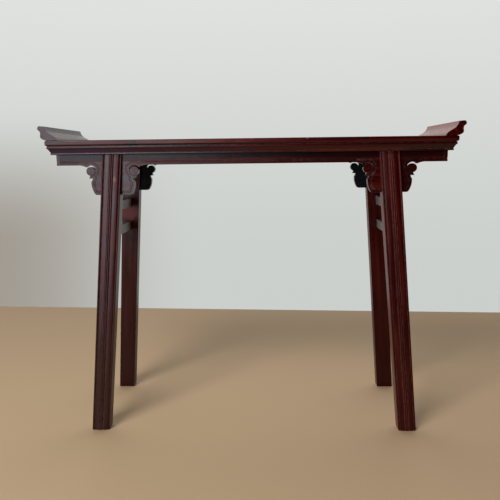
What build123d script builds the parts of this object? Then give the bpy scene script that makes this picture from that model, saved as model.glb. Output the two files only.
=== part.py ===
from build123d import *
import math
import os

# Altar table with everted ends, in millimetres.
# X runs along the length, the front looks towards -Y, +Z is up.
# The origin is on the floor at the centre of the table.

# Driving dimensions of the whole table
TABLE_HEIGHT = 880.0        # floor to the surface of the top
TOP_LENGTH = 1180.0         # over the moulded ends of the frame
TOP_DEPTH = 309.0           # over the moulded long edges
TOP_THICKNESS = 41.0
FRAME_WIDTH = 66.0          # width of each frame member in plan

# Floating panel and its battens
PANEL_THICKNESS = 14.0
PANEL_TONGUE = 8.0          # how far the tongue enters the frame
PANEL_GAP = 0.4             # seam between the panel and the frame
TONGUE_ROOM = 1.0           # room beyond the tongue for the panel to swell
TONGUE_LOW = 12.0           # tongue faces, measured down from the surface
TONGUE_HIGH = 6.0
BATTEN_WIDTH = 28.0
BATTEN_HEIGHT = 19.0
BATTEN_SPACING = 330.0
DOVETAIL_HEIGHT = 4.0
DOVETAIL_NECK = 20.0
DOVETAIL_WIDTH = 24.0
BATTEN_TENON_LENGTH = 12.0
BATTEN_TENON_WIDTH = 18.0
BATTEN_TENON_HEIGHT = 10.0
BATTEN_TENON_DROP = 10.0    # centre of the tenon below the panel

# Hidden tenons at the mitred corners of the frame
CORNER_TENON_STOP = 16.0    # tip of the tenon from the end of the top
CORNER_TENON_WIDTH = 22.0
CORNER_TENON_HEIGHT = 9.0
CORNER_TENON_DROP = 27.0    # centre of the tenon below the surface
CORNER_TENON_INSET = 40.0   # centre of the tenon from the long edge

# Everted flanges
FLANGE_DEPTH = 307.0
FLANGE_TONGUE_LENGTH = 230.0
FLANGE_TONGUE_WIDTH = 7.0
FLANGE_TONGUE_HEIGHT = 8.0
FLANGE_TONGUE_INSET = 22.0  # centre of the tongue from the end of the top

# Aprons and spandrels
APRON_FACE = 127.0          # outer face of the long aprons, from the centre
APRON_THICKNESS = 16.0
APRON_BOTTOM = 808.0
APRON_END = 568.5           # outer face of the end aprons, from the centre
END_APRON_THICKNESS = 11.0
SPANDREL_CENTRE = 405.0
SPANDREL_BOTTOM = 721.0
SPANDREL_HALF_WIDTH = 98.0
HOUSING_HEIGHT = 10.0       # how far the spandrel is let into the apron
SCROLL_X = 64.5             # centre of the scroll eye, from the leg's centre line
SCROLL_Z = 790.5
SCROLL_RADIUS = 12.7
SCROLL_GAP = 4.6            # width of the crescent cut over the scroll
BEAD_DEPTH = 1.2
BEAD_LINES = ((6.7, 8.0), (10.0, 11.3))  # carved lines beside the bead, measured in from the edge
EYE_LINE = 1.5              # width of the line carved round the scroll eye

# Legs
LEG_TOP_X = 427.7           # outer side face at the height of the surface
LEG_SPLAY_X = 0.0785        # outward run for each millimetre down
LEG_TOP_Y = 135.0           # moulded face at the height of the surface
LEG_SPLAY_Y = 0.0525
LEG_WIDTH_TOP = 58.6
LEG_WIDTH_FOOT = 53.6
MOULDED_WIDTH = 56.0        # leg width at which the moulding is drawn
LEG_THICKNESS_TOP = 39.0
LEG_THICKNESS_FOOT = 37.0
FOOT_ARRIS = 3.0            # height of the eased edge round the sole
FOOT_EASE = 0.95            # size of the sole against the section above it
TENON_WIDTH = 36.0
TENON_HEIGHT = 22.0
OUTER_TENON_THICKNESS = 5.5
INNER_TENON_THICKNESS = 7.0
TENON_SHOULDER = 0.8        # set-back of the tenons from the slot

# Stretchers
STRETCHER_HEIGHT = 29.0
STRETCHER_THICKNESS = 16.0
STRETCHER_OFFSET = 6.0      # its centre plane lies outside the leg's centre line
UPPER_STRETCHER_Z = 681.5
LOWER_STRETCHER_Z = 601.5
STRETCHER_TENON_HEIGHT = 20.0
STRETCHER_TENON_THICKNESS = 8.0
STRETCHER_TENON_LENGTH = 20.0

# Play left around a tenon or a tongue in its mortise or groove
PLAY = 0.2

# How far a joined block runs into its neighbour, or a cutter past what it cuts
OVERRUN = 2.0

UNDERSIDE = TABLE_HEIGHT - TOP_THICKNESS
PANEL_UNDERSIDE = TABLE_HEIGHT - PANEL_THICKNESS
APRON_INNER = APRON_FACE - APRON_THICKNESS


def box(low, high):
    """A block between two opposite corners."""
    size = [b - a for a, b in zip(low, high)]
    middle = [(a + b) / 2 for a, b in zip(low, high)]
    return Pos(*middle) * Box(*size)


def grown(low, high, play=PLAY):
    """The same block with play all round, to cut its mortise."""
    return box([a - play for a in low], [b + play for b in high])


def mirrored(shape, side_x, side_y):
    """Copy a front right piece to the corner named by two signs."""
    if side_x < 0:
        shape = mirror(shape, Plane.YZ)
    if side_y > 0:
        shape = mirror(shape, Plane.XZ)
    return shape


def profile_plane(x, y, z, outward):
    """A plane whose local x points outward and whose local y points up."""
    normal = Vector(*outward).cross(Vector(0, 0, 1))
    return Plane(origin=(x, y, z), x_dir=outward, z_dir=normal)


# ---------------------------------------------------------------- top frame

def rail_profile():
    """Moulded section: local x is outward from the edge, y is up from the surface."""
    inner = -FRAME_WIDTH
    low = -TOP_THICKNESS
    top = Line((inner, 0), (-5.0, 0))
    nosing = ThreePointArc((-5.0, 0), (-1.5, -1.5), (0, -5.0))
    face = Line((0, -5.0), (-0.3, -11.4))
    turn = ThreePointArc((-0.3, -11.4), (-1.0, -13.5), (-2.6, -15.1))
    quirk = Polyline((-2.6, -15.1), (-5.0, -16.2), (-5.0, -17.4), (-4.1, -18.1))
    torus = ThreePointArc((-4.1, -18.1), (-3.4, -21.2), (-4.8, -24.4))
    step = Line((-4.8, -24.4), (-6.2, -25.0))
    cove = ThreePointArc((-6.2, -25.0), (-9.5, -30.4), (-12.2, -36.2))
    lip = Line((-12.2, -36.2), (-11.5, -36.9))
    bead = ThreePointArc((-11.5, -36.9), (-10.6, -38.7), (-11.6, -40.6))
    base = Polyline((-11.6, -40.6), (-12.2, low), (inner, low), (inner, 0))
    return make_face(top + nosing + face + turn + quirk + torus + step + cove + lip + bead + base)


def mitred_rail(outward, length, plan):
    """Extrude the moulded section and cut its ends to the mitres of the plan."""
    x = outward[0] * TOP_LENGTH / 2
    y = outward[1] * TOP_DEPTH / 2
    section = profile_plane(x, y, TABLE_HEIGHT, outward) * rail_profile()
    bar = extrude(section, amount=length / 2, both=True)
    corners = Polyline(*plan, close=True)
    return bar & extrude(make_face(corners), amount=TABLE_HEIGHT + OVERRUN)


def panel_groove():
    """Space taken by the panel's tongue, with play."""
    half_x = TOP_LENGTH / 2 - FRAME_WIDTH + PANEL_TONGUE + TONGUE_ROOM
    half_y = TOP_DEPTH / 2 - FRAME_WIDTH + PANEL_TONGUE + TONGUE_ROOM
    low = (-half_x, -half_y, TABLE_HEIGHT - TONGUE_LOW - PLAY)
    high = (half_x, half_y, TABLE_HEIGHT - TONGUE_HIGH + PLAY)
    return box(low, high)


def corner_tenon_limits(side_x, side_y):
    """Opposite corners of the hidden tenon at one corner of the frame."""
    tip = TOP_LENGTH / 2 - CORNER_TENON_STOP
    root = TOP_LENGTH / 2 - FRAME_WIDTH
    y_middle = side_y * (TOP_DEPTH / 2 - CORNER_TENON_INSET)
    z_middle = TABLE_HEIGHT - CORNER_TENON_DROP
    xs = sorted((side_x * root, side_x * tip))
    low = (xs[0], y_middle - CORNER_TENON_WIDTH / 2, z_middle - CORNER_TENON_HEIGHT / 2)
    high = (xs[1], y_middle + CORNER_TENON_WIDTH / 2, z_middle + CORNER_TENON_HEIGHT / 2)
    return low, high


def long_rail(side_y):
    """Front or rear member of the frame, with its tenons and mortises."""
    half_x = TOP_LENGTH / 2
    edge = side_y * TOP_DEPTH / 2
    inner = side_y * (TOP_DEPTH / 2 - FRAME_WIDTH)
    plan = [(-half_x, edge), (half_x, edge), (half_x - FRAME_WIDTH, inner), (FRAME_WIDTH - half_x, inner)]
    rail = mitred_rail((0, side_y, 0), TOP_LENGTH, plan)
    rail -= panel_groove()
    for side_x in (-1, 1):
        rail += box(*corner_tenon_limits(side_x, side_y))
        for low, high in leg_tenon_limits(side_x, side_y):
            rail -= grown(low, high)
    for x in (-BATTEN_SPACING, 0, BATTEN_SPACING):
        rail -= grown(*batten_tenon_limits(x))
    return rail


def end_rail(side_x):
    """Left or right member of the frame, grooved for the flange's tongue."""
    edge = side_x * TOP_LENGTH / 2
    inner = side_x * (TOP_LENGTH / 2 - FRAME_WIDTH)
    half_y = TOP_DEPTH / 2
    plan = [(edge, -half_y), (edge, half_y), (inner, half_y - FRAME_WIDTH), (inner, FRAME_WIDTH - half_y)]
    rail = mitred_rail((side_x, 0, 0), TOP_DEPTH, plan)
    rail -= panel_groove()
    for side_y in (-1, 1):
        rail -= grown(*corner_tenon_limits(side_x, side_y))
    rail -= grown(*flange_tongue_limits(side_x))
    return rail


# --------------------------------------------------------- panel and battens

def batten_tenon_limits(x):
    """One bar that gives the tenons at both ends of a batten."""
    reach = TOP_DEPTH / 2 - FRAME_WIDTH + BATTEN_TENON_LENGTH
    half = BATTEN_TENON_WIDTH / 2
    low = PANEL_UNDERSIDE - BATTEN_TENON_DROP - BATTEN_TENON_HEIGHT / 2
    return (x - half, -reach, low), (x + half, reach, low + BATTEN_TENON_HEIGHT)


def dovetail_bar(x, play):
    """Sliding dovetail on top of a batten, over the depth of the panel opening."""
    half_neck = DOVETAIL_NECK / 2 + play
    half_wide = DOVETAIL_WIDTH / 2 + play
    low = PANEL_UNDERSIDE
    high = PANEL_UNDERSIDE + DOVETAIL_HEIGHT + play
    corners = [(-half_neck, low), (half_neck, low), (half_wide, high), (-half_wide, high)]
    outline = Polyline(*corners, close=True)
    section = profile_plane(x, 0, 0, (1, 0, 0)) * make_face(outline)
    return extrude(section, amount=TOP_DEPTH / 2 - FRAME_WIDTH + play, both=True)


def batten(x):
    """Cross batten: body under the panel, dovetail in it, tenons in the long rails."""
    half_y = TOP_DEPTH / 2 - FRAME_WIDTH
    half_x = BATTEN_WIDTH / 2
    low = (x - half_x, -half_y, PANEL_UNDERSIDE - BATTEN_HEIGHT)
    body = box(low, (x + half_x, half_y, PANEL_UNDERSIDE))
    return body + dovetail_bar(x, 0) + box(*batten_tenon_limits(x))


def panel():
    """Floating panel, flush with the frame, with a tongue all round."""
    half_x = TOP_LENGTH / 2 - FRAME_WIDTH - PANEL_GAP
    half_y = TOP_DEPTH / 2 - FRAME_WIDTH - PANEL_GAP
    board = box((-half_x, -half_y, PANEL_UNDERSIDE), (half_x, half_y, TABLE_HEIGHT))
    reach_x = half_x + PANEL_TONGUE
    reach_y = half_y + PANEL_TONGUE
    low = (-reach_x, -reach_y, TABLE_HEIGHT - TONGUE_LOW)
    board += box(low, (reach_x, reach_y, TABLE_HEIGHT - TONGUE_HIGH))
    for x in (-BATTEN_SPACING, 0, BATTEN_SPACING):
        board -= dovetail_bar(x, PLAY)
    return board


# ------------------------------------------------------------------ flanges

def flange_profile():
    """Section of the right flange: x is outward from the end of the top, y is up."""
    foot = Line((-38.0, 0), (-6.5, 0))
    heel = Spline((-6.5, 0), (1.0, 1.6), (8.2, 5.6), (11.4, 13.0), tangents=((1, 0.08), (0, 1)))
    cove = Spline((11.4, 13.0), (10.4, 20.0), (11.8, 25.6), (15.6, 28.8))
    lip = ThreePointArc((15.6, 28.8), (18.0, 35.0), (12.6, 40.8))
    crest = Line((12.6, 40.8), (-2.5, 39.6))
    hollow = Spline((-2.5, 39.6), (-5.5, 30.6), (-11.5, 22.6), (-20.0, 16.8), (-31.0, 10.0), (-38.0, 0))
    return make_face(foot + heel + cove + lip + crest + hollow)


def flange_tongue_limits(side_x):
    """Opposite corners of the tongue under a flange."""
    middle = side_x * (TOP_LENGTH / 2 - FLANGE_TONGUE_INSET)
    half_x = FLANGE_TONGUE_WIDTH / 2
    half_y = FLANGE_TONGUE_LENGTH / 2
    low = (middle - half_x, -half_y, TABLE_HEIGHT - FLANGE_TONGUE_HEIGHT)
    return low, (middle + half_x, half_y, TABLE_HEIGHT + OVERRUN)


def flange(side_x):
    """Everted end: concave towards the table, lipped on the outside."""
    plane = profile_plane(side_x * TOP_LENGTH / 2, 0, TABLE_HEIGHT, (side_x, 0, 0))
    bar = extrude(plane * flange_profile(), amount=FLANGE_DEPTH / 2, both=True)
    return bar + box(*flange_tongue_limits(side_x))


# ----------------------------------------------------- aprons and spandrels

def on_circle(radius, degrees):
    """A point on a circle about the scroll eye."""
    angle = math.radians(degrees)
    return SCROLL_X + radius * math.cos(angle), SCROLL_Z + radius * math.sin(angle)


def scroll_edge():
    """Edge of half a spandrel, from the apron's lower edge to the middle of its foot."""
    outer = SCROLL_RADIUS + SCROLL_GAP
    cusp = on_circle(outer, 44)
    gap_top = on_circle(outer, 152)
    gap_turn = on_circle(SCROLL_RADIUS + SCROLL_GAP / 2, 161)
    gap_low = on_circle(SCROLL_RADIUS, 152)
    neck = on_circle(SCROLL_RADIUS, -74)
    spur = (71.0, 770.4)
    notch = (59.2, 770.2)
    leaf_tip = (64.2, 759.5)
    leaf_heel = (56.8, 727.0)
    foot_end = (48.8, SPANDREL_BOTTOM)
    edge = ThreePointArc((SPANDREL_HALF_WIDTH, APRON_BOTTOM), (87.0, 806.3), cusp)
    edge += ThreePointArc(cusp, on_circle(outer, 98), gap_top)
    edge += ThreePointArc(gap_top, gap_turn, gap_low)
    edge += ThreePointArc(gap_low, on_circle(SCROLL_RADIUS, 40), neck)
    edge += ThreePointArc(neck, (67.6, 774.6), spur)
    edge += ThreePointArc(spur, (65.0, 769.4), notch)
    edge += ThreePointArc(notch, (61.0, 764.4), leaf_tip)
    edge += ThreePointArc(leaf_tip, (62.7, 742.5), leaf_heel)
    edge += ThreePointArc(leaf_heel, (53.8, 723.0), foot_end)
    edge += Line(foot_end, (0, SPANDREL_BOTTOM))
    return edge


def spandrel_outline(top):
    """Face of a whole spandrel, about the leg's centre line, up to the given height."""
    right = scroll_edge()
    side = SPANDREL_HALF_WIDTH
    right += Polyline((side, APRON_BOTTOM), (side, top), (0, top), (0, SPANDREL_BOTTOM))
    half = make_face(right)
    return half + mirror(half, Plane.YZ)


def upright_plane():
    """Plane of the front face of the front apron: local y is up, its normal looks out."""
    return Plane(origin=(0, -APRON_FACE, 0), x_dir=(1, 0, 0), z_dir=(0, -1, 0))


def eye_places():
    """Centres of the four scroll eyes along the front apron."""
    return [(side * SPANDREL_CENTRE + turn * SCROLL_X, SCROLL_Z) for side in (-1, 1) for turn in (-1, 1)]


def bead_cutters():
    """The carved lines along the lower edge of the apron and its spandrels, and round the eyes."""
    margin = 40.0
    silhouette = Pos(0, APRON_BOTTOM + margin) * Rectangle(2 * (APRON_END + margin), 2 * margin)
    for centre in (-SPANDREL_CENTRE, SPANDREL_CENTRE):
        silhouette += Pos(centre, 0) * spandrel_outline(APRON_BOTTOM + margin)
    lines = []
    for x, z in eye_places():
        silhouette -= Pos(x, z) * Circle(SCROLL_RADIUS)
        lines.append(Pos(x, z) * (Circle(SCROLL_RADIUS + EYE_LINE) - Circle(SCROLL_RADIUS)))
    for near, far in BEAD_LINES:
        lines.append(offset(silhouette, amount=-near) - offset(silhouette, amount=-far))
    return [extrude(upright_plane() * line, amount=-BEAD_DEPTH) for line in lines]


def spandrel_blank(top):
    """Board of the front right spandrel, before carving."""
    face = upright_plane() * (Pos(SPANDREL_CENTRE, 0) * spandrel_outline(top))
    return extrude(face, amount=-APRON_THICKNESS)


def spandrel(beads):
    """Front right spandrel, let into the apron and standing in the leg's slot."""
    board = spandrel_blank(APRON_BOTTOM + HOUSING_HEIGHT)
    for bead in beads:
        board -= bead
    return board


def long_apron(beads):
    """Front apron, housed for its two spandrels."""
    half_x = APRON_END - END_APRON_THICKNESS
    board = box((-half_x, -APRON_FACE, APRON_BOTTOM), (half_x, -APRON_INNER, UNDERSIDE))
    for centre in (-SPANDREL_CENTRE, SPANDREL_CENTRE):
        low = (centre - SPANDREL_HALF_WIDTH, -APRON_FACE, APRON_BOTTOM)
        high = (centre + SPANDREL_HALF_WIDTH, -APRON_INNER, APRON_BOTTOM + HOUSING_HEIGHT)
        board -= box(low, high)
    for bead in beads:
        board -= bead
    return board


def end_apron():
    """Right end apron, covering the ends of the long aprons, with the same carved lines."""
    inner = APRON_END - END_APRON_THICKNESS
    board = box((inner, -APRON_FACE, APRON_BOTTOM), (APRON_END, APRON_FACE, UNDERSIDE))
    for near, far in BEAD_LINES:
        low = (APRON_END - BEAD_DEPTH, -APRON_FACE, APRON_BOTTOM + near)
        board -= box(low, (APRON_END, APRON_FACE, APRON_BOTTOM + far))
    return board


# --------------------------------------------------------------------- legs

def down(z):
    """Distance below the surface of the top."""
    return TABLE_HEIGHT - z


def leg_width(z):
    return LEG_WIDTH_TOP + (LEG_WIDTH_FOOT - LEG_WIDTH_TOP) * down(z) / TABLE_HEIGHT


def leg_thickness(z):
    return LEG_THICKNESS_TOP + (LEG_THICKNESS_FOOT - LEG_THICKNESS_TOP) * down(z) / TABLE_HEIGHT


def leg_centre(z):
    """Centre of the right legs along X at a height."""
    return LEG_TOP_X + LEG_SPLAY_X * down(z) - leg_width(z) / 2


def leg_face(z):
    """Distance of the moulded face from the centre of the table at a height."""
    return LEG_TOP_Y + LEG_SPLAY_Y * down(z)


def half_leg_outline(depth):
    """Right half of the moulded section of a leg: x from its centre, y into the leg."""
    side = MOULDED_WIDTH / 2
    outline = ThreePointArc((0.0, 1.6), (2.7, 0.0), (5.3, 1.9))
    outline += Polyline((5.3, 1.9), (5.9, 2.7), (6.6, 1.9))
    outline += ThreePointArc((6.6, 1.9), (12.8, 1.9), (18.4, 2.7))
    outline += ThreePointArc((18.4, 2.7), (20.8, 3.5), (22.4, 5.0))
    outline += Line((22.4, 5.0), (23.1, 4.3))
    outline += ThreePointArc((23.1, 4.3), (25.6, 2.9), (side, 5.5))
    outline += Polyline((side, 5.5), (side, depth), (0.0, depth), (0.0, 1.6))
    return outline


def leg_section(z, ease=1.0):
    """Horizontal section of the front right leg at a height."""
    enlargement = leg_width(z) / MOULDED_WIDTH
    depth = leg_thickness(z) / enlargement
    half = make_face(half_leg_outline(depth))
    whole = Pos(0, -depth / 2) * (half + mirror(half, Plane.YZ))
    sized = scale(whole, by=ease * enlargement, about=(0, 0, 0))
    centre_y = -leg_face(z) + leg_thickness(z) / 2
    return Pos(leg_centre(z), centre_y, z) * sized


def leg_blank(top):
    """Front right leg from the sole to a height, eased round the sole."""
    foot = loft([leg_section(0, FOOT_EASE), leg_section(FOOT_ARRIS)], ruled=True)
    shaft = loft([leg_section(FOOT_ARRIS), leg_section(top)], ruled=True)
    return foot + shaft


def leg_tenon_limits(side_x, side_y):
    """Opposite corners of the twin tenons on one leg: outer first."""
    centre = leg_centre(UNDERSIDE)
    outer_near = APRON_FACE + TENON_SHOULDER
    inner_far = APRON_INNER - TENON_SHOULDER
    outer_span = (outer_near, outer_near + OUTER_TENON_THICKNESS)
    inner_span = (inner_far - INNER_TENON_THICKNESS, inner_far)
    limits = []
    for near, far in (outer_span, inner_span):
        xs = sorted((side_x * (centre - TENON_WIDTH / 2), side_x * (centre + TENON_WIDTH / 2)))
        ys = sorted((side_y * near, side_y * far))
        limits.append(((xs[0], ys[0], UNDERSIDE), (xs[1], ys[1], UNDERSIDE + TENON_HEIGHT)))
    return limits


def leg():
    """Front right leg: shaft, slot for apron and spandrel, twin tenons, stretcher mortises."""
    shaft = leg_blank(UNDERSIDE)
    slot_low = (SPANDREL_CENTRE - LEG_WIDTH_TOP, -APRON_FACE, SPANDREL_BOTTOM)
    slot_high = (SPANDREL_CENTRE + LEG_WIDTH_TOP, -APRON_INNER, UNDERSIDE + OVERRUN)
    shaft -= box(slot_low, slot_high)
    for low, high in leg_tenon_limits(1, -1):
        shaft += box((low[0], low[1], low[2] - OVERRUN), high)
    for height in (UPPER_STRETCHER_Z, LOWER_STRETCHER_Z):
        shaft -= stretcher_tenons(height, PLAY)
    return shaft


# --------------------------------------------------------------- stretchers

def stretcher_bar(z, thickness, length, height):
    """A bar along Y on the stretcher's centre line, leaning with the legs."""
    centre_run = leg_centre(0) - leg_centre(TABLE_HEIGHT)
    lean = math.degrees(math.atan2(centre_run, TABLE_HEIGHT))
    place = Pos(leg_centre(z) + STRETCHER_OFFSET, 0, z) * Rot(0, -lean, 0)
    return place * Box(thickness, length, height)


def shoulder(z):
    """Distance of the leg's inner face from the centre of the table at a height."""
    return leg_face(z) - leg_thickness(z)


def stretcher_tenons(z, play):
    """The tenons at both ends of a right stretcher, as one bar."""
    length = 2 * (shoulder(z) + STRETCHER_TENON_LENGTH + play)
    thickness = STRETCHER_TENON_THICKNESS + 2 * play
    return stretcher_bar(z, thickness, length, STRETCHER_TENON_HEIGHT + 2 * play)


def stretcher(z):
    """Right stretcher: body shouldered against both legs, tenons beyond."""
    body = stretcher_bar(z, STRETCHER_THICKNESS, 2 * (shoulder(z) + STRETCHER_HEIGHT), STRETCHER_HEIGHT)
    for side_y in (-1, 1):
        body -= mirrored(leg_block(z), 1, side_y)
    return body + stretcher_tenons(z, 0)


def leg_block(z):
    """Plain block with the front right leg's inner face, to cut a stretcher's shoulder."""
    slices = []
    for level in (z - STRETCHER_HEIGHT, z + STRETCHER_HEIGHT):
        rectangle = Rectangle(2 * LEG_WIDTH_TOP, 2 * leg_thickness(level))
        slices.append(Pos(leg_centre(level), -leg_face(level), level) * rectangle)
    return loft(slices, ruled=True)


# ----------------------------------------------------------------- assembly

def build():
    """Every piece of the table, by node name."""
    nodes = {}
    nodes["top_front_rail"] = long_rail(-1)
    nodes["top_rear_rail"] = long_rail(1)
    nodes["top_panel"] = panel()
    for name, x in (("left", -BATTEN_SPACING), ("centre", 0.0), ("right", BATTEN_SPACING)):
        nodes[name + "_batten"] = batten(x)
    beads = bead_cutters()
    apron = long_apron(beads)
    carved = spandrel(beads)
    post = leg()
    for row, side_y in (("front", -1), ("rear", 1)):
        nodes[row + "_apron"] = mirrored(apron, 1, side_y)
        for side, side_x in (("left", -1), ("right", 1)):
            nodes[row + "_" + side + "_spandrel"] = mirrored(carved, side_x, side_y)
            nodes[row + "_" + side + "_leg"] = mirrored(post, side_x, side_y)
    for side, side_x in (("left", -1), ("right", 1)):
        nodes["top_" + side + "_end_rail"] = end_rail(side_x)
        nodes[side + "_everted_flange"] = flange(side_x)
        nodes[side + "_end_apron"] = mirrored(end_apron(), side_x, -1)
        for level, z in (("upper", UPPER_STRETCHER_Z), ("lower", LOWER_STRETCHER_Z)):
            nodes[side + "_" + level + "_stretcher"] = mirrored(stretcher(z), side_x, -1)
    return nodes


os.makedirs("parts", exist_ok=True)
for node, shape in build().items():
    export_step(shape, "parts/" + node + ".step")
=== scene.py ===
import bpy
import math
from mathutils import Matrix, Vector

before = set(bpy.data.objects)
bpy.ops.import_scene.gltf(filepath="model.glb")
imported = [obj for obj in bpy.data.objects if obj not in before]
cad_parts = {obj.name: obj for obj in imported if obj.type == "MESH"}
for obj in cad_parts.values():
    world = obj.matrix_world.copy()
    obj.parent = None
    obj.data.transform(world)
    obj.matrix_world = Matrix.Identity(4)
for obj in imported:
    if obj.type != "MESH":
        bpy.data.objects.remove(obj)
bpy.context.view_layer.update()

# Camera, in metres and degrees
CAMERA_PLACE = (0.047, -1.72, 0.826)
CAMERA_YAW = -1.8062
CAMERA_PITCH = 9.728
CAMERA_ROLL = -0.6995
FOCAL_WIDTHS = 541 / 500   # in image widths; assumed, because the photograph hardly settles it
SENSOR = 36.0

# Colours, linear
DEEP = (0.026, 0.0008, 0.0005)        # lacquer in the hollows of the grain; also painted shade towards the floor and on parts of the aprons and a spandrel
OXBLOOD = (0.064, 0.0018, 0.0009)     # lacquer at its usual thickness
RUBBED = (0.130, 0.012, 0.0070)       # lacquer rubbed thin
LIT_FADED = (0.42, 0.088, 0.060)          # lacquer rubbed through to its ground, and painted light on faces turned to the lamps
CRIMSON_LIGHT = (0.42, 0.070, 0.072)        # painted pool of light on the rear left leg, between the stretchers
WORN = (0.26, 0.17, 0.15)             # pale arrises
BARE = (0.21, 0.085, 0.03)            # wood showing at a chip
SOOT = (0.010, 0.0030, 0.0028)        # dark stains
PAINTED_SHADE = (0.006, 0.0030, 0.0030)       # painted shade in hollows, around the scroll eyes and under the mouldings
PLUM_SHEEN = (0.040, 0.018, 0.052)          # painted purple sheen in the cove of the top's front moulding, at the left
UNDERCOAT_AND_SHADE = (0.0022, 0.0048, 0.0068)  # dark coat on the hidden faces, which also paints the shade that they lie in
DUST_AND_SHEEN = (0.235, 0.242, 0.262)          # a grey film, partly dust and partly painted sheen
FLOOR = (0.74, 0.535, 0.33)
WALL_LOW = (0.60, 0.625, 0.605)
WALL_HIGH = (0.80, 0.82, 0.79)
WALL_SHADE = (0.36, 0.33, 0.29)       # low at the left of the wall
GLOW = (0.86, 0.84, 0.82)             # light from behind the table
UNLIT = (0.0, 0.0, 0.0)

# Directions
UP = (0.0, 0.0, 1.0)
DOWN = (0.0, 0.0, -1.0)

# Noise scales: (along the grain, across it), or one number for both
FIBRE_SCALE = (9.0, 420.0)
BAND_SCALE = (2.2, 70.0)
PATCH_SCALE = 9.0
SPECK_SCALE = 95.0
FILM_SCALE = 55.0
SWAY_SCALE = 26.0
RAGGED_SCALE = 260.0

# Spans: a value's low and high end, and where given what they become (0 and 1 otherwise)
FIBRE_SPAN = (0.32, 0.66)
RUBBED_SPAN = (0.42, 0.75, 0.0, 0.75)
STAIN_SPAN = (0.58, 0.75, 0.0, 0.55)
GLOSS_SPAN = (0.3, 0.7)
THIN_SPAN = (0.25, 0.7)
FILM_SPAN = (0.25, 0.62)
BROKEN_SPAN = (0.34, 0.66)
RAGGED_SPAN = (0.3, 0.7)
SPOT_SPAN = (1.1, 0.7)
EDGE_SPAN = (0.995, 0.90)
HOLLOW_SPAN = (0.90, 0.62)
FADED_FACING = (0.55, 0.85)
DUSTY_FACING = (0.1, 0.6)
HIDDEN_FACING = (0.5, 0.8)
FILM_FACING_SPAN = (0.0, 1.0, 0.35, 1.0)
FOOT_HEIGHTS = (0.75, 0.1)

# Lacquer: sizes in metres
EDGE_RADIUS = 0.0016        # how far wear reaches from an arris
EDGE_SAMPLES = 6
HOLLOW_REACH = 0.005        # how wide a hollow may be to take painted shade
HOLLOW_SAMPLES = 8
GLOSSIER = 0.06             # how far the roughness goes below and above its middle
DULLER = 0.08
LEAST_THIN = 0.45           # least share of the rubbing and painted light, and of the film of dust and painted sheen
LEAST_FILM = 0.55
FILM_ROUGHNESS = 0.22       # what the film of dust and painted sheen, the painted shade in hollows, the undercoat and wear add to the roughness
HOLLOW_SHADE_ROUGHNESS = 0.45
HIDDEN_ROUGHNESS = 0.5
WEAR_ROUGHNESS = 0.25
RING_WIDTH = 0.0046
RING_STRENGTH = 0.92
SWAY_BUMP = {"Strength": 0.6, "Distance": 0.0012}
FIBRE_BUMP = {"Strength": 0.5, "Distance": 0.00025}
LACQUER_IOR = 1.5

# Marks: those that reach less far than this are chips, with a more ragged edge than stains
CHIP_REACH = 0.05
RAGGED_CHIP = 0.35
RAGGED_STAIN = 0.10

# Arrises and shading
SHARP_ANGLE = 32.0
WELD_DISTANCE = 0.00001
EASED_WIDTH = 0.0008
EASED_SEGMENTS = 2


# ------------------------------------------------------------------- nodes

class Nodes:
    """A small helper that adds nodes to a tree and links what it is given."""

    def __init__(self, tree):
        self.tree = tree
        tree.nodes.clear()

    def add(self, kind, inputs=None, **settings):
        node = self.tree.nodes.new(kind)
        for key, value in settings.items():
            setattr(node, key, value)
        for key, value in (inputs or {}).items():
            self.put(node.inputs[key], value)
        return node

    def put(self, socket, value):
        if isinstance(value, bpy.types.NodeSocket):
            self.tree.links.new(value, socket)
        elif isinstance(value, tuple) and len(value) == 3 and socket.type == "RGBA":
            socket.default_value = (*value, 1.0)
        else:
            socket.default_value = value

    def noise(self, vector, scale, detail=3.0, roughness=0.55, distortion=0.0):
        inputs = {"Vector": vector, "Scale": scale, "Detail": detail,
                  "Roughness": roughness, "Distortion": distortion}
        return self.add("ShaderNodeTexNoise", inputs).outputs["Fac"]

    def span(self, value, low, high, to_low=0.0, to_high=1.0):
        inputs = {"Value": value, "From Min": low, "From Max": high,
                  "To Min": to_low, "To Max": to_high}
        node = self.add("ShaderNodeMapRange", inputs, interpolation_type="SMOOTHSTEP")
        return node.outputs["Result"]

    def math(self, operation, a, b=0.0, clamp=False):
        node = self.add("ShaderNodeMath", {0: a, 1: b}, operation=operation, use_clamp=clamp)
        return node.outputs["Value"]

    def vector(self, operation, a, b):
        return self.add("ShaderNodeVectorMath", {0: a, 1: b}, operation=operation).outputs["Vector"]

    def dot(self, a, b):
        node = self.add("ShaderNodeVectorMath", {0: a, 1: b}, operation="DOT_PRODUCT")
        return node.outputs["Value"]

    def length(self, a):
        return self.add("ShaderNodeVectorMath", {0: a}, operation="LENGTH").outputs["Value"]

    def mix(self, factor, a, b):
        node = self.add("ShaderNodeMix", data_type="RGBA")
        self.put(node.inputs["Factor"], factor)
        self.put(node.inputs[6], a)
        self.put(node.inputs[7], b)
        return node.outputs[2]


def edge_mask(nodes):
    """1 at sharp convex and concave edges, 0 on flat faces."""
    bevel = nodes.add("ShaderNodeBevel", {"Radius": EDGE_RADIUS}, samples=EDGE_SAMPLES)
    true = nodes.add("ShaderNodeNewGeometry").outputs["Normal"]
    return nodes.span(nodes.dot(bevel.outputs["Normal"], true), *EDGE_SPAN)


def hollow_mask(nodes):
    """1 in narrow hollows, 0 on open faces."""
    settings = {"samples": HOLLOW_SAMPLES, "only_local": True}
    shade = nodes.add("ShaderNodeAmbientOcclusion", {"Distance": HOLLOW_REACH}, **settings)
    return nodes.span(shade.outputs["AO"], *HOLLOW_SPAN)


def facing(nodes, direction, low, high):
    """1 on faces that look in a direction, 0 on the others."""
    normal = nodes.add("ShaderNodeNewGeometry").outputs["Normal"]
    return nodes.span(nodes.dot(normal, direction), low, high)


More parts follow.
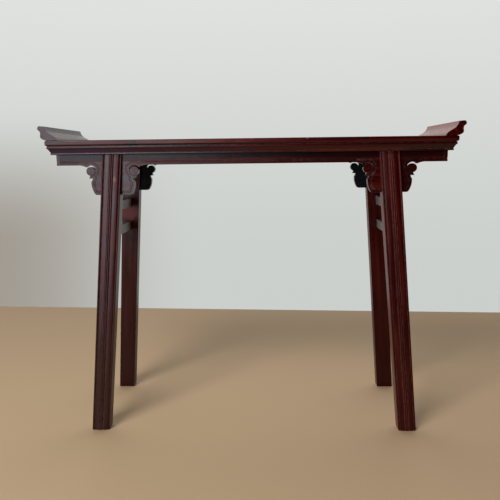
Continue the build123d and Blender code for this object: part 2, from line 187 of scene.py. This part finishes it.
def spot(nodes, place, centre, reach, rough):
    """1 in an ellipsoid about a centre, in metres, fading to 0 at a ragged edge."""
    away = nodes.vector("SUBTRACT", place, centre)
    length = nodes.length(nodes.vector("DIVIDE", away, reach))
    ragged = nodes.span(nodes.noise(place, RAGGED_SCALE), *RAGGED_SPAN, -rough, rough)
    return nodes.span(nodes.math("ADD", length, ragged), *SPOT_SPAN)


def ring(nodes, place, centre, radius, width):
    """1 in a ring about an axis that runs along Y, fading to 0 beside it."""
    away = nodes.vector("SUBTRACT", place, centre)
    length = nodes.length(nodes.vector("MULTIPLY", away, (1.0, 0.0, 1.0)))
    gap = nodes.math("ABSOLUTE", nodes.math("SUBTRACT", length, radius))
    return nodes.span(gap, width * 0.75, width * 0.25)


def lacquer(name, grain, tilt=0.0, offset=(0.0, 0.0, 0.0), wear=0.5, gloss=0.26, specular=0.36,
            hidden=None, faded_and_lit=0.0, inward=UP, dusty_sheen=0.0, marks=(), eyes=(), hollow_shade=0.0, foot_shade=0.0):
    """Oxblood lacquer over wood whose grain runs along one axis, tilted about Y by some degrees.

    offset: where the noise is read, so that pieces differ. wear: how far the arrises are
    worn. gloss: the middle of the roughness. specular: the specular level.
    hidden: the way that the undercoated faces look; their dark coat also paints the shade on
    them. faded_and_lit: how far the faces looking inward are paled, partly as lacquer worn
    through and partly as painted light. dusty_sheen: how far a grey film, partly dusty and
    partly painted sheen, dulls those faces; the others get about a third. marks: (colour,
    centre, reach, strength), some of them painted light or shade. eyes: places of the scroll
    eyes, ringed with painted shadow. hollow_shade: how dark the painted shade in narrow
    hollows is. foot_shade: how far painted shade darkens the lacquer towards the floor.
    """
    material = bpy.data.materials.new(name)
    material.use_nodes = True
    n = Nodes(material.node_tree)
    place = n.add("ShaderNodeTexCoord").outputs["Object"]
    mapping = {"Vector": place, "Location": offset, "Rotation": (0.0, math.radians(tilt), 0.0)}
    turned = n.add("ShaderNodeMapping", mapping).outputs["Vector"]

    def along(long, cross):
        scale = [cross] * 3
        scale["XYZ".index(grain)] = long
        return n.add("ShaderNodeMapping", {"Vector": turned, "Scale": tuple(scale)}).outputs["Vector"]

    fibre = n.noise(along(*FIBRE_SCALE), 1.0, detail=4.0, roughness=0.6)
    band = n.noise(along(*BAND_SCALE), 1.0, distortion=0.4)
    patch = n.noise(turned, PATCH_SCALE)
    speck = n.noise(turned, SPECK_SCALE, detail=4.0)

    colour = n.mix(n.span(fibre, *FIBRE_SPAN), DEEP, OXBLOOD)
    colour = n.mix(n.span(band, *RUBBED_SPAN), colour, RUBBED)
    colour = n.mix(n.span(patch, *STAIN_SPAN), colour, SOOT)
    rough = n.span(band, *GLOSS_SPAN, gloss - GLOSSIER, gloss + DULLER)
    # faces turned inward are paled, partly by rubbing and partly as painted light
    if faded_and_lit:
        thin = n.span(band, *THIN_SPAN, LEAST_THIN * faded_and_lit, faded_and_lit)
        thin = n.math("MULTIPLY", facing(n, inward, *FADED_FACING), thin)
        colour = n.mix(thin, colour, LIT_FADED)
    # a grey film on the faces looking inward, partly dust and partly painted sheen
    if dusty_sheen:
        film = n.span(n.noise(turned, FILM_SCALE, detail=4.0), *FILM_SPAN, LEAST_FILM * dusty_sheen, dusty_sheen)
        film_facing = n.span(facing(n, inward, *DUSTY_FACING), *FILM_FACING_SPAN)
        film = n.math("MULTIPLY", film, film_facing)
        colour = n.mix(film, colour, DUST_AND_SHEEN)
        rough = n.math("ADD", rough, n.math("MULTIPLY", film, FILM_ROUGHNESS))
    # painted shade, darker towards the floor
    if foot_shade:
        height = n.add("ShaderNodeSeparateXYZ", {"Vector": place}).outputs["Z"]
        colour = n.mix(n.span(height, *FOOT_HEIGHTS, 0.0, foot_shade), colour, DEEP)
    # painted shadow ringing each scroll eye
    for centre in eyes:
        line = ring(n, place, centre, EYE_RADIUS, RING_WIDTH)
        colour = n.mix(n.math("MULTIPLY", line, RING_STRENGTH), colour, PAINTED_SHADE)
    broken = n.span(speck, *BROKEN_SPAN)
    worn = n.math("MULTIPLY", n.math("MULTIPLY", edge_mask(n), broken), wear)
    colour = n.mix(worn, colour, WORN)
    for tint, centre, reach, strength in marks:
        ragged = RAGGED_CHIP if max(reach) < CHIP_REACH else RAGGED_STAIN
        shown = n.math("MULTIPLY", spot(n, place, centre, reach, ragged), strength)
        colour = n.mix(shown, colour, tint)
    # painted shade in narrow hollows
    if hollow_shade:
        hollows = n.math("MULTIPLY", hollow_mask(n), hollow_shade)
        colour = n.mix(hollows, colour, PAINTED_SHADE)
        rough = n.math("ADD", rough, n.math("MULTIPLY", hollows, HOLLOW_SHADE_ROUGHNESS))
    # dark undercoat on the hidden faces, also painted shade
    if hidden:
        behind = facing(n, hidden, *HIDDEN_FACING)
        colour = n.mix(behind, colour, UNDERCOAT_AND_SHADE)
        rough = n.math("ADD", rough, n.math("MULTIPLY", behind, HIDDEN_ROUGHNESS))

    rough = n.math("ADD", rough, n.math("MULTIPLY", worn, WEAR_ROUGHNESS), clamp=True)
    sway = n.noise(turned, SWAY_SCALE, detail=2.0)
    bump = n.add("ShaderNodeBump", {**SWAY_BUMP, "Height": sway}).outputs["Normal"]
    bump = n.add("ShaderNodeBump", {**FIBRE_BUMP, "Height": fibre, "Normal": bump}).outputs["Normal"]
    shader = n.add("ShaderNodeBsdfPrincipled", {
        "Base Color": colour, "Roughness": rough, "Normal": bump,
        "IOR": LACQUER_IOR, "Specular IOR Level": specular})
    n.add("ShaderNodeOutputMaterial", {"Surface": shader.outputs["BSDF"]})
    return material


def smoothing_group():
    """Geometry nodes that shade smoothly over shallow edges and sharply over steep ones."""
    tree = bpy.data.node_groups.new("smooth_shallow_edges", "GeometryNodeTree")
    tree.interface.new_socket("Geometry", in_out="INPUT", socket_type="NodeSocketGeometry")
    tree.interface.new_socket("Geometry", in_out="OUTPUT", socket_type="NodeSocketGeometry")
    n = Nodes(tree)
    mesh = n.add("NodeGroupInput").outputs["Geometry"]
    custom = {"Geometry": mesh, "Name": "custom_normal"}
    mesh = n.add("GeometryNodeRemoveAttribute", custom).outputs["Geometry"]
    smooth = {"Geometry": mesh, "Shade Smooth": True}
    mesh = n.add("GeometryNodeSetShadeSmooth", smooth).outputs["Geometry"]
    angle = n.add("GeometryNodeInputMeshEdgeAngle").outputs["Unsigned Angle"]
    shallow = n.math("LESS_THAN", angle, math.radians(SHARP_ANGLE))
    smooth = {"Geometry": mesh, "Shade Smooth": shallow}
    mesh = n.add("GeometryNodeSetShadeSmooth", smooth, domain="EDGE").outputs["Geometry"]
    n.add("NodeGroupOutput", {"Geometry": mesh})
    return tree


def ease(piece):
    """Round every arris of a piece a little, as planing and handling leave it."""
    weld = piece.modifiers.new("weld", "WELD")
    weld.merge_threshold = WELD_DISTANCE
    bevel = piece.modifiers.new("eased_arrises", "BEVEL")
    bevel.limit_method = "ANGLE"
    bevel.angle_limit = math.radians(SHARP_ANGLE)
    bevel.width = EASED_WIDTH
    bevel.segments = EASED_SEGMENTS
    smooth = piece.modifiers.new("smooth", "NODES")
    smooth.node_group = SMOOTHING
    flat = piece.modifiers.new("flat_faces", "WEIGHTED_NORMAL")
    flat.keep_sharp = True


def dress(node, material):
    """Give a CAD node its finish and its eased arrises."""
    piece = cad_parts[node]
    piece.data.materials.clear()
    piece.data.materials.append(material)
    ease(piece)


# ------------------------------------------------------------------ finish

SMOOTHING = smoothing_group()

LEG_TILT = 4.5
EYE_RADIUS = 0.0145
EYE_SIDES = (0.3405, 0.4695)
EYE_HEIGHT = 0.7905

# Where each kind of piece reads the noise along Y, so that no two kinds share a pattern
REAR_SHIFT = 3.1   # the rear row's, along X
RAIL_SHIFT = 0.4
END_RAIL_SHIFT = 0.7
LEG_SHIFT = 1.3
FLANGE_SHIFT = 1.7
SPANDREL_SHIFT = 2.1
END_APRON_SHIFT = 2.7
STRETCHER_SHIFT = 3.7
PANEL_SHIFT = 5.0
BATTEN_SHIFT = 6.0

# Marks: colour, centre and reach in metres, strength
RAIL_MARKS = ((SOOT, (-0.337, -0.155, 0.866), (0.020, 0.02, 0.012), 1.0),
              (SOOT, (0.329, -0.155, 0.876), (0.008, 0.02, 0.004), 1.0),
              (WORN, (0.005, -0.155, 0.8775), (0.004, 0.01, 0.0022), 1.0),
              (WORN, (0.164, -0.155, 0.8775), (0.003, 0.01, 0.0016), 1.0),
              # painted highlight along the top bead
              (RUBBED, (-0.105, -0.150, 0.8745), (0.27, 0.05, 0.0070), 0.8),
              # painted purple sheen in the cove, towards the left
              (PLUM_SHEEN, (-0.300, -0.150, 0.8500), (0.38, 0.05, 0.0110), 0.35),
              (PLUM_SHEEN, (-0.620, -0.150, 0.8500), (0.30, 0.05, 0.0110), 0.7),
              # painted sheen on the lower lip, at the left
              (DUST_AND_SHEEN, (-0.420, -0.150, 0.8415), (0.42, 0.05, 0.0040), 0.2))
# Painted shade on the aprons: the top's shadow along their upper part, and a darker right end
APRON_PAINTED_SHADE = ((PAINTED_SHADE, (0.0, 0.0, 0.845), (1.2, 0.3, 0.022), 1.0),
               (DEEP, (0.36, 0.0, 0.820), (0.22, 0.3, 0.04), 0.7))
FLANGE_MARKS = ((OXBLOOD, (0.580, 0.0, 0.906), (0.1, 0.4, 0.0028), 0.45),)
# Painted light on the spandrels: the front right leg's shadow on its outer spandrel, and a grey sheen on
# the front left inner one
SPANDREL_SHADE_AND_SHEEN = ((DEEP, (0.480, -0.12, 0.770), (0.05, 0.06, 0.09), 0.8),
                  (DUST_AND_SHEEN, (-0.372, -0.125, 0.765), (0.035, 0.03, 0.06), 0.14))
LEG_MARKS = ((BARE, (-0.397, -0.140, 0.767), (0.005, 0.02, 0.010), 1.0),
             # painted light on the rear left leg between the stretchers
             (CRIMSON_LIGHT, (-0.417, 0.110, 0.645), (0.045, 0.02, 0.024), 0.34))

# Legs: specular level, how far the inner faces are paled by rubbing and painted light, how far painted
# shade darkens the foot
LEG_FINISH = {"front_left": (0.46, 0.0, 0.9), "front_right": (0.23, 0.30, 0.25),
              "rear_left": (0.32, 0.0, 0.9), "rear_right": (0.23, 0.30, 0.8)}
SPANDREL_SPECULAR = {"left": 0.38, "right": 0.27}
# Flanges: roughness, how far they are paled by rubbing and painted light, how far a film of dust and
# painted sheen covers them
FLANGE_FINISH = {"left": (0.24, 0.1, 0.35), "right": (0.20, 1.0, 0.0)}
SIDES = (("left", -1), ("right", 1))

for row, back, shift in (("front", 1.0, 0.0), ("rear", -1.0, REAR_SHIFT)):
    behind = (0.0, back, 0.0)
    dress(row + "_apron",
          lacquer(row + "_apron_lacquer", "X", offset=(shift, 0.0, 0.0), gloss=0.28,
                  specular=0.26, hidden=behind, marks=APRON_PAINTED_SHADE, hollow_shade=0.5))
    dress("top_" + row + "_rail",
          lacquer("top_" + row + "_rail_lacquer", "X", offset=(shift, RAIL_SHIFT, 0.0),
                  wear=0.8, hidden=DOWN, marks=RAIL_MARKS))
    for side, sign in SIDES:
        name = row + "_" + side
        sheen, rubbed_and_lit, foot_shade = LEG_FINISH[name]
        eyes = [(sign * x, 0.0, EYE_HEIGHT) for x in EYE_SIDES]
        dress(name + "_leg",
              lacquer(name + "_leg_lacquer", "Z", tilt=sign * LEG_TILT,
                      offset=(shift, sign * LEG_SHIFT, 0.0), wear=0.8, gloss=0.33, specular=sheen,
                      faded_and_lit=rubbed_and_lit, inward=(-sign, 0.0, 0.0), marks=LEG_MARKS, foot_shade=foot_shade))
        dress(name + "_spandrel",
              lacquer(name + "_spandrel_lacquer", "X", offset=(shift, sign * SPANDREL_SHIFT, 0.0),
                      gloss=0.28, specular=SPANDREL_SPECULAR[side], wear=0.9,
                      hidden=behind, marks=SPANDREL_SHADE_AND_SHEEN, eyes=eyes, hollow_shade=1.0))

for side, sign in SIDES:
    sheen, fading_and_light, film = FLANGE_FINISH[side]
    dress("top_" + side + "_end_rail",
          lacquer("top_" + side + "_end_lacquer", "Y", offset=(0.0, END_RAIL_SHIFT * sign, 0.0)))
    dress(side + "_everted_flange",
          lacquer(side + "_flange_lacquer", "Y", offset=(0.0, FLANGE_SHIFT * sign, 0.0),
                  gloss=sheen, faded_and_lit=fading_and_light, dusty_sheen=film, inward=(-0.7 * sign, 0.0, 0.7),
                  marks=FLANGE_MARKS))
    dress(side + "_end_apron",
          lacquer(side + "_end_apron_lacquer", "Y", offset=(0.0, END_APRON_SHIFT * sign, 0.0),
                  gloss=0.30, hollow_shade=0.8))
    for level in ("upper", "lower"):
        name = side + "_" + level + "_stretcher"
        dress(name,
              lacquer(name + "_lacquer", "Y", offset=(0.0, STRETCHER_SHIFT * sign, 0.0),
                      gloss=0.28, dusty_sheen=0.95, inward=(-sign, 0.0, 0.0)))

dress("top_panel",
      lacquer("top_panel_lacquer", "X", offset=(0.0, PANEL_SHIFT, 0.0), hidden=DOWN))
for name in ("left", "centre", "right"):
    dress(name + "_batten",
          lacquer(name + "_batten_wood", "Y", offset=(0.0, BATTEN_SHIFT, 0.0), gloss=0.45, dusty_sheen=0.2))


# ------------------------------------------------------------------- stage

FLOOR_SIDE = 3.4
FLOOR_NEAR = -1.3
FLOOR_FAR_LEFT = 1.348   # the table stands a little askew to the wall
FLOOR_FAR_RIGHT = 0.966
FLOOR_ROUGHNESS = 0.7
FLOOR_SPECULAR = 0.2
corners = [(-FLOOR_SIDE, FLOOR_NEAR, 0), (FLOOR_SIDE, FLOOR_NEAR, 0),
           (FLOOR_SIDE, FLOOR_FAR_RIGHT, 0), (-FLOOR_SIDE, FLOOR_FAR_LEFT, 0)]
floor_mesh = bpy.data.meshes.new("floor")
floor_mesh.from_pydata(corners, [], [(0, 1, 2, 3)])
floor = bpy.data.objects.new("floor", floor_mesh)
bpy.context.collection.objects.link(floor)
floor_material = bpy.data.materials.new("pale_floor")
floor_material.use_nodes = True
n = Nodes(floor_material.node_tree)
shader = n.add("ShaderNodeBsdfPrincipled", {
    "Base Color": FLOOR, "Roughness": FLOOR_ROUGHNESS, "Specular IOR Level": FLOOR_SPECULAR})
n.add("ShaderNodeOutputMaterial", {"Surface": shader.outputs["BSDF"]})
floor.data.materials.append(floor_material)


# ---------------------------------------------------------------- lighting

# Parts of the directions that the studio is painted by: back, height on the wall, its shade
BACK_SPAN = (0.0, 0.6)
WALL_SPAN = (-0.25, 0.55)
SHADE_ACROSS = (-0.12, -0.46)
SHADE_UP = (0.10, -0.14)

world = bpy.data.worlds.new("studio")
world.use_nodes = True
bpy.context.scene.world = world
n = Nodes(world.node_tree)
direction = n.add("ShaderNodeTexCoord").outputs["Generated"]
split = n.add("ShaderNodeSeparateXYZ", {"Vector": direction}).outputs
back = n.span(split["Y"], *BACK_SPAN)
wall_colour = n.mix(n.span(split["Z"], *WALL_SPAN), WALL_LOW, WALL_HIGH)
shade = n.math("MULTIPLY", n.span(split["X"], *SHADE_ACROSS), n.span(split["Z"], *SHADE_UP))
wall_colour = n.mix(shade, wall_colour, WALL_SHADE)
light_colour = n.mix(back, UNLIT, GLOW)
light = n.add("ShaderNodeBackground", {"Color": light_colour, "Strength": 1.0})
wall = n.add("ShaderNodeBackground", {"Color": wall_colour, "Strength": 1.0})
path = n.add("ShaderNodeLightPath").outputs
mirrored = n.math("ADD", path["Is Glossy Ray"], path["Is Transmission Ray"])
mirrored = n.math("MULTIPLY", mirrored, back)
seen = n.math("ADD", path["Is Camera Ray"], mirrored, clamp=True)
both = n.add("ShaderNodeMixShader", {
    "Fac": seen, 1: light.outputs["Background"], 2: wall.outputs["Background"]})
n.add("ShaderNodeOutputWorld", {"Surface": both.outputs["Shader"]})

# Lamps: place, aim, width, height, power, colour
LAMPS = {
    "key": ((-1.25, -2.0, 2.9), (0.0, 0.0, 0.7), 1.2, 1.0, 42.0, (1.0, 0.93, 0.88)),
    "panel": ((-1.95, -3.3, 0.95), (-0.3, 0.0, 0.7), 2.2, 1.7, 47.0, (0.80, 0.90, 1.0)),
    "side_panel": ((-0.66, -3.5, 0.95), (-0.2, 0.0, 0.7), 0.6, 1.5, 5.5, (0.85, 0.92, 1.0))}
for name, (place, aim, width, height, power, colour) in LAMPS.items():
    data = bpy.data.lights.new(name, "AREA")
    data.shape = "RECTANGLE"
    data.size = width
    data.size_y = height
    data.energy = power
    data.color = colour
    lamp = bpy.data.objects.new(name, data)
    lamp.location = place
    lamp.rotation_euler = (Vector(aim) - Vector(place)).to_track_quat("-Z", "Y").to_euler()
    bpy.context.collection.objects.link(lamp)


# ------------------------------------------------------------------ camera

def camera_axes(yaw, pitch, roll):
    """Right, up and forward directions of the camera, from angles in degrees."""
    yaw, pitch, roll = (math.radians(a) for a in (yaw, pitch, roll))
    forward = Vector((math.sin(yaw) * math.cos(pitch), math.cos(yaw) * math.cos(pitch), -math.sin(pitch)))
    level = Vector((math.cos(yaw), -math.sin(yaw), 0.0))
    above = level.cross(forward)
    right = level * math.cos(roll) + above * math.sin(roll)
    up = above * math.cos(roll) - level * math.sin(roll)
    return right, up, forward


right, up, forward = camera_axes(CAMERA_YAW, CAMERA_PITCH, CAMERA_ROLL)
lens = bpy.data.cameras.new("camera")
lens.sensor_width = SENSOR
lens.lens = FOCAL_WIDTHS * SENSOR
camera = bpy.data.objects.new("camera", lens)
turn = Matrix((right, up, -forward)).transposed()
camera.matrix_world = Matrix.Translation(Vector(CAMERA_PLACE)) @ turn.to_4x4()
bpy.context.collection.objects.link(camera)
bpy.context.scene.camera = camera
bpy.context.scene.view_settings.view_transform = "Standard"
